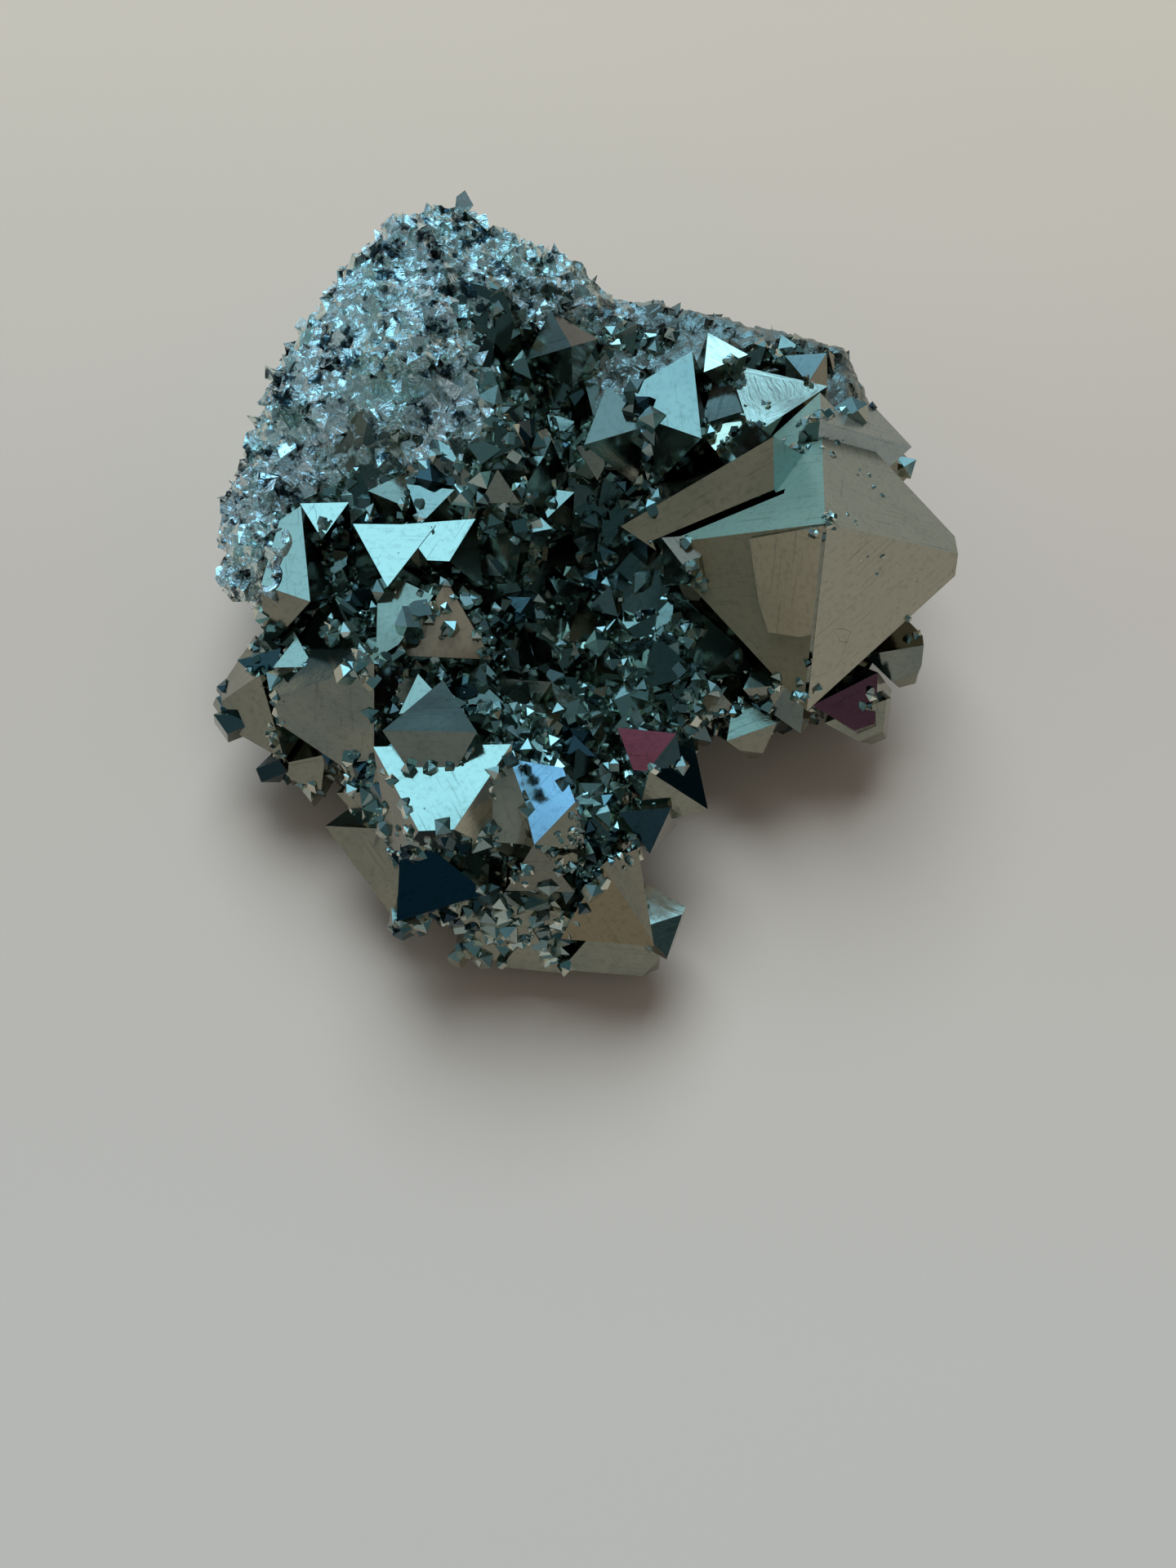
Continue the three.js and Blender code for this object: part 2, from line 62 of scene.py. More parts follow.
MM = 0.001
WELD = 0.001 * MM  # points closer than this are one point
FLAT = math.radians(0.3)  # faces that turn less than this are one face
SAME_PLANE = 0.02 * MM
OCTAHEDRON_TURN = math.radians(70.53)  # between the normals of two faces that share an edge
STEP_TURN = math.radians(90)  # at the edge of a step of growth
TURN_SLACK = math.radians(0.7)
VALLEY_TURN = math.radians(-15)  # a valley deeper than this holds small crystals
WIDE_FACE = 1 * MM**2  # crystal faces from this area on are looked up by their plane
ON_TABLE = 0.01 * MM
SEED = 12
MAP_SHIFT = 50  # mm, the patterns of two faces lie up to this far apart
FAINT_LINES = 0.08  # how strongly a face without a skin of its own is lined, at most
ON_CRYSTAL, ON_LUMP, ON_EDGE, ON_CRUST = range(4)  # the cluster's finishes in their order


def alone(obj):
    bpy.ops.object.select_all(action="DESELECT")
    obj.select_set(True)
    bpy.context.view_layer.objects.active = obj


def edit(obj):
    alone(obj)
    bpy.ops.object.mode_set(mode="EDIT")
    bpy.ops.mesh.select_all(action="SELECT")


def done():
    bpy.ops.object.mode_set(mode="OBJECT")


def dress(obj, *materials):
    obj.data.materials.clear()
    for material in materials:
        obj.data.materials.append(material)
    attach(obj, "root")


alone(bpy.data.objects["pyrite_cluster"])
bpy.ops.object.duplicate()
cluster = bpy.context.object
cluster.name = "cluster"
del cluster["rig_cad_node"]  # this copy is a piece of its own that replaces the CAD node
edit(cluster)
bpy.ops.mesh.customdata_custom_splitnormals_clear()
bpy.ops.mesh.remove_doubles(threshold=WELD)
bpy.ops.mesh.dissolve_limited(angle_limit=FLAT)
done()
bpy.ops.object.shade_flat()

# A face is a crystal's if an edge of it turns as an octahedron's or a step's does, or if
# it lies in the same plane as such a face. All other faces are the lump's.
shell = bmesh.new()
shell.from_mesh(cluster.data)
shell.faces.ensure_lookup_table()
grain_lines = {}  # each crystal face's longest such edge
valleys = []  # the edges where one crystal grows out of another
for edge in shell.edges:
    turn = edge.calc_face_angle_signed(0)
    if turn < VALLEY_TURN:
        valleys.append([v.co.copy() for v in edge.verts])
    if min(abs(turn - OCTAHEDRON_TURN), abs(turn - STEP_TURN)) < TURN_SLACK:
        for face in edge.link_faces:
            longest = grain_lines.get(face.index)
            if longest is None or edge.calc_length() > longest.calc_length():
                grain_lines[face.index] = edge
normals = np.array([face.normal for face in shell.faces])
centres = np.array([face.calc_center_median() for face in shell.faces])
areas = np.array([face.calc_area() for face in shell.faces])
offsets = (normals * centres).sum(1)


def coplanar(index, among=slice(None)):
    same_way = normals[among] @ normals[index] > math.cos(2 * FLAT)
    return same_way & (np.abs(offsets[among] - offsets[index]) < SAME_PLANE)


is_crystal = np.zeros(len(areas), bool)
is_crystal[list(grain_lines)] = True
wide = np.flatnonzero(is_crystal & (areas > WIDE_FACE))
for index in np.flatnonzero(~is_crystal):
    is_crystal[index] = bool(np.any(coplanar(index, wide)))
on_base = (centres[:, 2] < ON_TABLE) & (normals[:, 2] < -0.9)

# Each face's own map runs along one of its crystal's edges, in millimetres, so that the
# fine lines of growth on a face follow that edge.
rng = np.random.default_rng(SEED)
face_map = cluster.data.uv_layers.new(name="growth")
for polygon in cluster.data.polygons:
    normal = Vector(polygon.normal)
    if polygon.index in grain_lines:
        ends = [v.co for v in grain_lines[polygon.index].verts]
        along = (ends[1] - ends[0]).normalized()
    else:
        along = normal.orthogonal().normalized()
    across = normal.cross(along)
    shift = Vector(rng.uniform(0, MAP_SHIFT, 2))
    for corner in polygon.loop_indices:
        point = cluster.data.vertices[cluster.data.loops[corner].vertex_index].co / MM
        face_map.data[corner].uv = Vector((point.dot(along), point.dot(across))) + shift
    polygon.material_index = ON_CRYSTAL if is_crystal[polygon.index] else ON_LUMP
shell.free()

# Single faces carry painted reflections and painted shade. Each face gets the colour it shows as a
# mirror of the room (brown, red, blue, black or bright), or a lighter or darker tone for shade.
# Each row has that colour, how much of a face it covers, how satin it is (a real finish), how
# strongly it is lined, and a point in mm on or near each of its faces.
PAINTED_LIGHT_BY_FACE = {
    "dark steel": ((0.14, 0.13, 0.10), 1.0, 0.1, 0.1, [(2.3, 7.9, 13.3)]),
    "dark teal": ((0.16, 0.15, 0.12), 1.0, 0.1, 0.1, [(9.3, 7.7, 15.1)]),
    "blade bronze": ((0.42, 0.35, 0.23), 1.0, 0.2, 0.0, [(8.1, 0.8, 16.9)]),
    "soft grey": ((0.25, 0.24, 0.18), 1.0, 0.1, 0.1, [
        (-11.5, 2.1, 14.2), (-18.0, -3.0, 14.5), (-8.8, -1.3, 15.1), (-9.8, -11.4, 13.8),
        (-17.7, -8.4, 12.3)]),
    "low grey": ((0.18, 0.17, 0.12), 1.0, 0.1, 0.2, [(10.4, -11.3, 8.6)]),
    "pale grey": ((0.31, 0.29, 0.21), 1.0, 0.1, 0.1, [(-11.6, -2.0, 15.0), (-11.3, -6.2, 14.2)]),
    "lined foil": ((0.80, 0.66, 0.50), 1.0, 0.0, 0.5, [(8.9, 11.1, 15.6), (12.0, 8.7, 15.1)]),
    "dark brown": ((0.16, 0.11, 0.07), 1.0, 0.5, 0.1, [(6.4, -2.4, 14.9)]),
    "dark bronze": ((0.26, 0.21, 0.13), 1.0, 0.1, 0.1, [(1.8, -24.4, 9.8)]),
    "kite bronze": ((0.20, 0.19, 0.15), 0.8, 0.1, 0.1, [(-2.6, -21.8, 13.2)]),
    "dome bronze": ((0.44, 0.38, 0.28), 1.0, 0.5, 0.0, [(-8.0, -7.2, 13.1)]),
    "bright": ((0.62, 0.50, 0.34), 1.0, 0.0, 0.0, [(-16.2, 0.7, 13.8), (8.9, 5.8, 15.1)]),
    "blue": ((0.34, 0.40, 0.45), 0.68, 0.0, 0.0, [(-1.9, -17.7, 14.8)]),
    "red": ((0.33, 0.065, 0.075), 0.68, 0.2, 0.1, [(4.1, -14.3, 12.4)]),
    "wine": ((0.14, 0.055, 0.07), 1.0, 0.1, 0.1, [(17.5, -10.0, 8.0)]),
    "maroon": ((0.36, 0.24, 0.27), 0.8, 0.1, 0.1, [(-11.6, -10.9, 12.3)]),
    "navy": ((0.006, 0.026, 0.04), 0.95, 0.0, 0.0, [(-9.1, -22.9, 10.9)]),
    "black": ((0.04, 0.08, 0.09), 0.85, 0.0, 0.2, [
        (4.4, -18.6, 9.5), (-3.5, -10.0, 10.2), (6.7, -14.5, 10.5), (6.1, -14.9, 11.4)]),
    "slate": ((0.07, 0.16, 0.19), 0.9, 0.0, 0.1, [(-20.0, -8.1, 10.6)]),
    "olive satin": ((0.45, 0.45, 0.32), 1.0, 0.9, 0.0, [(9.6, -4.1, 15.6), (11.1, -6.2, 15.2)]),
    "pale olive satin": ((0.72, 0.67, 0.49), 1.0, 0.9, 0.0, [
        (13.0, -5.8, 19.1), (12.4, -6.1, 17.5)]),
    "frosted teal": ((0.20, 0.40, 0.385), 1.0, 0.9, 0.0, [(9.6, -0.9, 16.9), (12.5, 1.8, 19.3)]),
    "scratched": ((0.43, 0.42, 0.33), 1.0, 0.3, 0.0, [(17.2, -5.9, 16.5)]),
    "frosted grey": ((0.25, 0.28, 0.24), 1.0, 0.5, 0.0, [(16.7, 2.7, 17.6), (19.3, 1.2, 16.3)]),
    "frosted shoulder": ((0.26, 0.30, 0.28), 1.0, 0.5, 0.0, [(18.1, 6.5, 15.9)]),
    "pale shoulder": ((0.44, 0.52, 0.51), 1.0, 0.5, 0.0, [(16.8, 4.1, 17.2)]),
    "mirror": ((0.42, 0.41, 0.31), 1.0, 0.0, 0.0, [
        (-8.1, -18.8, 16.3), (-12.1, -1.6, 14.9), (-7.6, -1.1, 15.1), (-16.5, 1.3, 13.7)]),
    "rim plate": ((0.15, 0.16, 0.14), 1.0, 0.2, 0.1, [(15.3, 11.3, 14.8)]),
    "shaded": ((0.12, 0.12, 0.11), 1.0, 0.1, 0.1, [
        (-12.3, -10.9, 14.8), (-0.5, 16.5, 12.3), (-0.5, 13.8, 13.8)]),
    "pale bronze": ((0.46, 0.44, 0.34), 1.0, 0.3, 0.0, [(-4.3, -19.3, 14.7), (-5.2, -19.0, 15.5)]),
    "pale teal": ((0.70, 0.70, 0.56), 1.0, 0.2, 0.1, [(5.6, -23.7, 7.7)]),
}
painted_light_colours = np.zeros((len(areas), 4))
satins = np.zeros(len(areas))
linings = rng.uniform(0, FAINT_LINES, len(areas))
for tint, cover, sheen, lines, points in PAINTED_LIGHT_BY_FACE.values():
    for point in points:
        index = cluster.closest_point_on_mesh(Vector(point) * MM)[3]
        together = coplanar(index)
        painted_light_colours[together] = (*tint, cover)
        satins[together] = sheen
        linings[together] = lines
painted_light = cluster.data.attributes.new("painted_light", "FLOAT_COLOR", "FACE")
painted_light.data.foreach_set("color", painted_light_colours.ravel())
satin = cluster.data.attributes.new("satin", "FLOAT", "FACE")
satin.data.foreach_set("value", satins)
lined = cluster.data.attributes.new("lined", "FLOAT", "FACE")
lined.data.foreach_set("value", linings)


class Nodes:
    """The node tree of a material or of the world, filled one node at a time."""

    def __init__(self, owner, shader):
        self.owner = owner
        owner.use_nodes = True
        self.tree = owner.node_tree
        self.shader = self.tree.nodes[shader]

    def add(self, kind, settings=(), **inputs):
        node = self.tree.nodes.new("ShaderNode" + kind)
        for key, value in dict(settings).items():
            setattr(node, key, value)
        for key, value in inputs.items():
            self.put(node, key.replace("_", " "), value)
        return node

    def put(self, node, key, value):
        socket = node.inputs[key]
        if isinstance(value, bpy.types.NodeSocket):
            self.tree.links.new(value, socket)
        else:
            socket.default_value = value

    def math(self, operation, *values, clamp=False):
        node = self.add("Math", {"operation": operation, "use_clamp": clamp})
        for place, value in enumerate(values):
            self.put(node, place, value)
        return node.outputs[0]

    def dot(self, vector, way):
        node = self.add("VectorMath", {"operation": "DOT_PRODUCT"})
        self.put(node, 0, vector)
        self.put(node, 1, Vector(way).normalized())
        return node.outputs["Value"]

    def ramp(self, fac, *stops):
        """Turns a number into a colour: each stop is a place and a grey or a colour."""
        node = self.add("ValToRGB", Fac=fac)
        elements = node.color_ramp.elements
        while len(elements) < len(stops):
            elements.new(0.5)
        for element, (place, value) in zip(elements, stops):
            element.position = place
            shade = value if isinstance(value, tuple) else (value, value, value)
            element.color = (*shade, 1)
        return node.outputs["Color"]

    def mix(self, fac, a, b, blend="MIX"):
        """Mixes colours a and b, which are inputs 6 and 7 of the node and output 2."""
        node = self.add("Mix", {"data_type": "RGBA", "blend_type": blend})
        for place, value in ((0, fac), (6, a), (7, b)):
            self.put(node, place, value)
        return node.outputs[2]

    def noise(self, vector, scale, detail=4.0, roughness=0.6):
        shape = {"Scale": scale, "Detail": detail, "Roughness": roughness}
        return self.add("TexNoise", Vector=vector, **shape).outputs["Fac"]

    def bump(self, height, strength, distance, below=None):
        node = self.add("Bump", Strength=strength, Distance=distance, Height=height)
        if below is not None:
            self.put(node, "Normal", below)
        return node.outputs["Normal"]


def finish(name):
    return Nodes(bpy.data.materials.new(name), "Principled BSDF")


# The faces of the large crystals: polished pyrite under the painted reflections and painted shade
# of single faces, with scratches and lines of growth, and with pits and cracks painted dark as
# their shade.
PYRITE = (0.27, 0.26, 0.20, 1)
DUSKY = (0.20, 0.21, 0.175, 1)
# painted shade: the near-black colour of pits and cracks
PIT_SHADE = (0.05, 0.05, 0.045, 1)
SWELL_DEPTH = 0.22 * MM
FINE_DEPTH = 0.02 * MM
LINE_DEPTH = 0.10 * MM
PIT_DEPTH = 0.06 * MM

faces = finish("crystal_faces")
place = faces.add("TexCoord").outputs["Object"]
growth = faces.add("UVMap", {"uv_map": "growth"}).outputs["UV"]
painted_light_on = faces.add("Attribute", {"attribute_name": "painted_light"})
satin_on = faces.add("Attribute", {"attribute_name": "satin"}).outputs["Fac"]
lined_on = faces.add("Attribute", {"attribute_name": "lined"}).outputs["Fac"]
cloud = faces.noise(place, 260.0)
swell = faces.noise(place, 170.0, 1.0)
patches = faces.noise(growth, 0.35, 3.0)
fine = faces.noise(growth, 2.6, 6.0, 0.65)
wander = faces.add("TexNoise", Vector=growth, Scale=0.55, Detail=2.0).outputs["Color"]
crack_way = faces.add("VectorMath", {"operation": "ADD"})
faces.put(crack_way, 0, growth)
faces.put(crack_way, 1, wander)
long_way = faces.add("VectorMath", {"operation": "MULTIPLY"})
faces.put(long_way, 0, crack_way.outputs[0])
faces.put(long_way, 1, (0.16, 1.5, 1.0))
streaks = faces.noise(long_way.outputs[0], 1.6, 3.0, 0.6)
scratch_way = faces.add("Mapping", Rotation=(0, 0, 1.1), Scale=(0.18, 5.0, 1.0), Vector=growth)
scratches = faces.noise(scratch_way.outputs[0], 1.0, 2.0)
pits = faces.add("TexVoronoi", Vector=growth, Scale=1.1, Randomness=1.0).outputs["Distance"]
speck = faces.noise(place, 2600.0, 3.0, 0.6)
cells = faces.add(
    "TexVoronoi", {"feature": "DISTANCE_TO_EDGE"}, Vector=crack_way.outputs[0], Scale=0.3
)
# painted shade: cracks are drawn as dark lines
crack_shade_lines = faces.ramp(cells.outputs["Distance"], (0.002, 0.6), (0.008, 0.0))
crack_shade = faces.mix(faces.ramp(patches, (0.37, 1.0), (0.43, 0.0)), (0, 0, 0, 1), crack_shade_lines)

colour = faces.mix(faces.ramp(cloud, (0.40, 0.0), (0.72, 0.7)), PYRITE, DUSKY)
# painted light: each face's painted reflection or shade gets a ragged, clouded edge where it
# covers only part of the face
cover = painted_light_on.outputs["Alpha"]  # a part cover leaves the skin with a ragged, clouded edge
within = faces.math("SUBTRACT", faces.math("MULTIPLY", cover, 1.2), cloud)
covered = faces.math("MULTIPLY_ADD", within, 14.0, 0.4, clamp=True)
covered = faces.math("MULTIPLY", covered, faces.math("GREATER_THAN", cover, 0.01))
# painted reflections and painted shade of single faces replace the pyrite colour here
colour = faces.mix(covered, colour, painted_light_on.outputs["Color"])
colour = faces.mix(1.0, colour, faces.ramp(speck, (0.28, 0.80), (0.50, 1.0)), "MULTIPLY")
scratched = faces.ramp(scratches, (0.30, 0.72), (0.40, 1.0))
colour = faces.mix(1.0, colour, scratched, "MULTIPLY")
stripes = faces.ramp(streaks, (0.34, 0.35), (0.40, 1.0))
colour = faces.mix(lined_on, colour, faces.mix(1.0, colour, stripes, "MULTIPLY"))
# painted shade: pits are painted dark and are also pressed in by the bump
hole = faces.ramp(pits, (0.05, 1.0), (0.10, 0.0))
pits_relief_and_shade = faces.mix(faces.ramp(patches, (0.56, 0.0), (0.62, 1.0)), (0, 0, 0, 1), hole)
colour = faces.mix(pits_relief_and_shade, colour, PIT_SHADE)
colour = faces.mix(crack_shade, colour, PIT_SHADE)
faces.put(faces.shader, "Base Color", colour)
faces.put(faces.shader, "Metallic", faces.math("MULTIPLY_ADD", satin_on, -0.75, 1.0))
gloss = faces.ramp(fine, (0.3, 0.04), (0.75, 0.16))
faces.put(faces.shader, "Roughness", faces.math("MULTIPLY_ADD", satin_on, 0.3, gloss))
relief = faces.bump(swell, 1.0, SWELL_DEPTH)
relief = faces.bump(fine, 0.25, FINE_DEPTH, relief)
relief = faces.bump(scratches, 0.10, FINE_DEPTH, relief)
lines = faces.math("MULTIPLY", streaks, lined_on)
relief = faces.bump(lines, 0.9, LINE_DEPTH, relief)
relief = faces.bump(pits_relief_and_shade, -0.8, PIT_DEPTH, relief)
faces.put(faces.shader, "Normal", relief)

# The edges of the large crystals: chipped, with dark nicks, and with near-white spots that are
# painted highlights.
CHIP_DEPTH = 0.10 * MM

edges = finish("worn_edges_and_highlights")
place = edges.add("TexCoord").outputs["Object"]
chipped = edges.noise(place, 1300.0, 4.0, 0.7)
# painted highlight: the near-white end of this ramp paints bright glints on the edges
tint = edges.ramp(
    chipped,
    (0.47, (0.02, 0.02, 0.018)),
    (0.53, (0.24, 0.23, 0.19)),
    (0.60, (0.98, 0.96, 0.84)),
)
edges.put(edges.shader, "Base Color", tint)
edges.put(edges.shader, "Metallic", 1.0)
edges.put(edges.shader, "Roughness", 0.28)
edges.put(edges.shader, "Normal", edges.bump(chipped, 1.0, CHIP_DEPTH))

# The lump: broken, dull pyrite.
LUMP_DEPTH = 0.8 * MM
FRAGMENT_DEPTH = 0.25 * MM
GRIT_DEPTH = 0.1 * MM

ground_rock = finish("broken_pyrite")
place = ground_rock.add("TexCoord").outputs["Object"]
cloud = ground_rock.noise(place, 500.0, 5.0, 0.65)
grit = ground_rock.noise(place, 2400.0, 4.0, 0.65)
chips = ground_rock.add("TexVoronoi", Vector=place, Scale=1100.0).outputs["Distance"]
tint = ground_rock.ramp(cloud, (0.35, (0.10, 0.09, 0.07)), (0.7, (0.36, 0.34, 0.26)))
ground_rock.put(ground_rock.shader, "Base Color", tint)
ground_rock.put(ground_rock.shader, "Metallic", 1.0)
ground_rock.put(ground_rock.shader, "Roughness", ground_rock.ramp(grit, (0.3, 0.24), (0.7, 0.5)))
relief = ground_rock.bump(cloud, 0.9, LUMP_DEPTH)
relief = ground_rock.bump(chips, 0.7, FRAGMENT_DEPTH, relief)
relief = ground_rock.bump(grit, 0.6, GRIT_DEPTH, relief)
ground_rock.put(ground_rock.shader, "Normal", relief)

# ---------------------------------------------------------------- the crust
# At the back and the left the small crystals have grown together into one crumpled crust
# of bright, flat scales. It lies over the lump like a sheet, and runs out at the back
# right in a smoother, duller rim.

LOWEST = 0.05 * MM  # no small piece reaches down to the resting surface
NEAR_BASE = 0.3  # mm, the sheet ends this high above the resting surface
CRUST_STEP = 0.16 * MM
CRUST_DEPTH = 0.7 * MM
CRUST_RISE = -0.20 * MM
RIM_RISE = 0.55 * MM
RIM_START, RIM_END = 1, 5  # mm to the right, where the rim sets in and where it is full
FACETS = 0.35  # the share of the sheet's faces that is kept as flat scales
SCALE_TURN = math.radians(24)  # between scales that turn more than this the edge is sharp
SUNK = 0.8 * MM
SMALL_FACE = 1.5 * MM**2  # smaller faces of crystals are buried in the crust

# Where the crust lies, in mm from the middle of the cluster's base.
x, y, z = (centres / MM).T
lump = ~is_crystal & ~on_base
upper_left = ((x < -5.5) & (y > 4)) | ((x < 1) & (y > 15.5)) | ((x < -17.5) & (y > -5))
buried = (areas < SMALL_FACE) | ((x < -6) & (y > 5.5))
not_below = normals[:, 2] > -0.8
in_crust = (lump | buried) & upper_left & not_below & ~on_base
back_rim = lump & (x >= 1) & (y > 8) & not_below

# The sheet starts as the even surface of the cluster, cut away where no crust lies.
alone(cluster)
bpy.ops.object.duplicate()
crust = bpy.context.object
crust.name = "crust"
crust.modifiers.new("even", "REMESH").voxel_size = CRUST_STEP
bpy.ops.object.modifier_apply(modifier="even")
elsewhere = np.ones(len(crust.data.vertices), bool)
for index, vertex in enumerate(crust.data.vertices):
    at = vertex.co / MM
    if at.z > NEAR_BASE and ((at.x < 1.5 and at.y > 3) or at.x < -16 or at.y > 8):
        nearest = cluster.closest_point_on_mesh(vertex.co)[3]
        elsewhere[index] = not (in_crust[nearest] or back_rim[nearest])
edit(crust)
bpy.ops.mesh.select_all(action="DESELECT")
bpy.ops.mesh.select_mode(type="VERT")
done()
crust.data.vertices.foreach_set("select", elsewhere)
bpy.ops.object.mode_set(mode="EDIT")
bpy.ops.mesh.delete(type="VERT")
done()

# It is less crumpled and stands higher towards the rim at the back right.
crumpled = crust.vertex_groups.new(name="crumpled")
rim = crust.vertex_groups.new(name="rim")
for vertex in crust.data.vertices:
    right = vertex.co.x / MM
    share = (right - RIM_START) / (RIM_END - RIM_START)
    rim.add([vertex.index], min(max(share, 0), 1), "REPLACE")
    crumpled.add([vertex.index], min(max(0.8 - 0.05 * right, 0.5), 1), "REPLACE")

# Each row has the kind of a relief, how wide its forms are in mm, how high in mm, and
# which of its levels stays where it is.
for name, kind, size, strength, middle in [
    ("swells", "CLOUDS", 2.2, 0.8, 0.5),
    ("scales", "VORONOI", 1.4, 0.7, 0.45),
    ("flakes", "VORONOI", 0.8, 0.5, 0.45),
    ("creases", "MUSGRAVE", 1.1, 0.35, 0.7),
]:
    form = bpy.data.textures.new(name, kind)
    form.noise_scale = size * MM
    if name == "scales":
        form.distance_metric = "CHEBYCHEV"
    if kind == "MUSGRAVE":
        form.musgrave_type = "RIDGED_MULTIFRACTAL"
    push = crust.modifiers.new(name, "DISPLACE")
    push.texture = form
    push.strength = strength * MM
    push.mid_level = middle
    push.vertex_group = "crumpled"
    bpy.ops.object.modifier_apply(modifier=name)
for name, rise, group in [("rise", CRUST_RISE, ""), ("rim_rise", RIM_RISE, "rim")]:
    raise_up = crust.modifiers.new(name, "DISPLACE")
    raise_up.strength = rise
    raise_up.mid_level = 0
    raise_up.vertex_group = group
    bpy.ops.object.modifier_apply(modifier=name)

# Flat scales and a thickness make it a closed shell.
facets = crust.modifiers.new("facets", "DECIMATE")
facets.ratio = FACETS
bpy.ops.object.modifier_apply(modifier="facets")
depth = crust.modifiers.new("depth", "SOLIDIFY")
depth.thickness = CRUST_DEPTH
depth.offset = -1
bpy.ops.object.modifier_apply(modifier="depth")
for vertex in crust.data.vertices:
    vertex.co.z = max(vertex.co.z, LOWEST)
bpy.ops.object.shade_smooth_by_angle(angle=SCALE_TURN)

# The cluster's own faces lie lower under the crust, so that they show nowhere through it.
under = np.ones(len(cluster.data.vertices), bool)
for polygon in cluster.data.polygons:
    if in_crust[polygon.index] or back_rim[polygon.index]:
        polygon.material_index = ON_CRUST
    else:
        under[list(polygon.vertices)] = False
sunk = [v.co - v.normal * SUNK * under[v.index] for v in cluster.data.vertices]
cluster.data.vertices.foreach_set("co", np.array(sunk).ravel())
cluster.data.update()

BRIGHT_SCALE = (0.94, 1.0, 0.98, 1)
GREEN_SCALE = (0.74, 0.88, 0.82, 1)
# painted shade of the gaps between scales
GAP_SHADE = (0.04, 0.07, 0.08, 1)
RIM_COLOUR = (0.30, 0.32, 0.28, 1)
FOLD_DEPTH = 0.16 * MM
CREASE_DEPTH = 0.03 * MM

scales = finish("worn_crust")
place = scales.add("TexCoord").outputs["Object"]
across = scales.add("SeparateXYZ", Vector=place).outputs["X"]
on_rim = scales.math("MULTIPLY_ADD", across, 110.0, 0.3, clamp=True)
cloud = scales.noise(place, 700.0, 5.0, 0.65)
wide = scales.noise(place, 160.0, 3.0)
folded = scales.add("TexNoise", Vector=place, Scale=1000.0, Detail=3.0, Distortion=2.2)
creased = scales.add("TexNoise", Vector=place, Scale=3200.0, Detail=3.0, Distortion=1.0)
folds, creases = folded.outputs["Fac"], creased.outputs["Fac"]
colour = scales.mix(scales.ramp(wide, (0.40, 0.0), (0.62, 1.0)), BRIGHT_SCALE, GREEN_SCALE)
# painted shade: dark patches laid by noise stand for the shade in the gaps between scales
colour = scales.mix(scales.ramp(cloud, (0.40, 0.0), (0.48, 1.0)), GAP_SHADE, colour)
colour = scales.mix(on_rim, colour, RIM_COLOUR)
scales.put(scales.shader, "Base Color", colour)
scales.put(scales.shader, "Metallic", 0.85)
gloss = scales.ramp(folds, (0.3, 0.06), (0.7, 0.20))
scales.put(scales.shader, "Roughness", scales.math("MULTIPLY_ADD", on_rim, 0.25, gloss))
relief = scales.bump(folds, 1.0, FOLD_DEPTH)
scales.put(scales.shader, "Normal", scales.bump(creases, 0.8, CREASE_DEPTH, relief))
dress(crust, scales.owner)

# ---------------------------------------------------------------- the fine crystals
# Where no large crystal grows, the lump is covered with crystals of a millimetre or two.
# They are octahedra too, most of them standing on a corner. They also grew in the valleys
# between the large crystals, in clumps on their faces, and as worn beads on the crust.


def shape(primitive, **size):
    """The corners and sides of one small crystal, modelled once and then taken away."""
    primitive(**size)
    obj = bpy.context.object
    points = np.array([v.co for v in obj.data.vertices])
    sides = [tuple(p.vertices) for p in obj.data.polygons]
    bpy.data.objects.remove(obj)
    return points, sides


SHARP = shape(bpy.ops.mesh.primitive_uv_sphere_add, segments=4, ring_count=2, radius=1)
WORN = shape(bpy.ops.mesh.primitive_uv_sphere_add, segments=6, ring_count=4, radius=1)


def spin(axes, angles):
    """Rotations by angles about unit axes, one for each row."""
    turned = np.zeros((len(angles), 3, 3))
    x, y, z = axes.T
    turned[:, 0, 1], turned[:, 0, 2], turned[:, 1, 2] = -z, y, -x
    turned -= turned.transpose(0, 2, 1)
    sine, cosine = np.sin(angles)[:, None, None], np.cos(angles)[:, None, None]
    return np.eye(3) + sine * turned + (1 - cosine) * turned @ turned


CORNER_TO_FACE = math.radians(54.74)  # turns an octahedron from a corner up to a face up
GLINT_LEAN = math.radians(10)  # those with a face up lean this much, all the same way
GLINT_AXIS = (-0.73, -0.68, 0)
FACE_UP = spin(np.array([(1, -1, 0)]) / math.sqrt(2), np.array([CORNER_TO_FACE]))[0]
GLINT = spin(np.array([GLINT_AXIS]), np.array([GLINT_LEAN]))[0]


def turns(count, lean, face_share):
    """Crystals that stand on a corner, but for a share that lies on a face and leans less."""
    about = np.tile((0.0, 0.0, 1.0), (count, 1))
    heading = rng.uniform(0, 2 * math.pi, count)
    side = np.column_stack((np.cos(heading), np.sin(heading), np.zeros(count)))
    flat = rng.uniform(size=count) < face_share
    start = np.where(flat[:, None, None], FACE_UP, np.eye(3))
    turned = spin(about, rng.uniform(0, 2 * math.pi, count)) @ start
    turned = np.where(flat[:, None, None], GLINT @ turned, turned)
    return spin(side, rng.normal(0, lean, count) * np.where(flat, 0.4, 1.0)) @ turned


def spread(points, spacing):
    """The points that are left when none may be nearer than spacing to another."""
    tree = kdtree.KDTree(len(points))
    for index, point in enumerate(points):
        tree.insert(point, index)
    tree.balance()
    free = np.ones(len(points), bool)
    kept = []
    for index, point in enumerate(points):
        if free[index]:
            kept.append(index)
            free[[near[1] for near in tree.find_range(point, spacing)]] = False
    return points[kept], kept


TRIES = 3  # points tried for each one that may have room


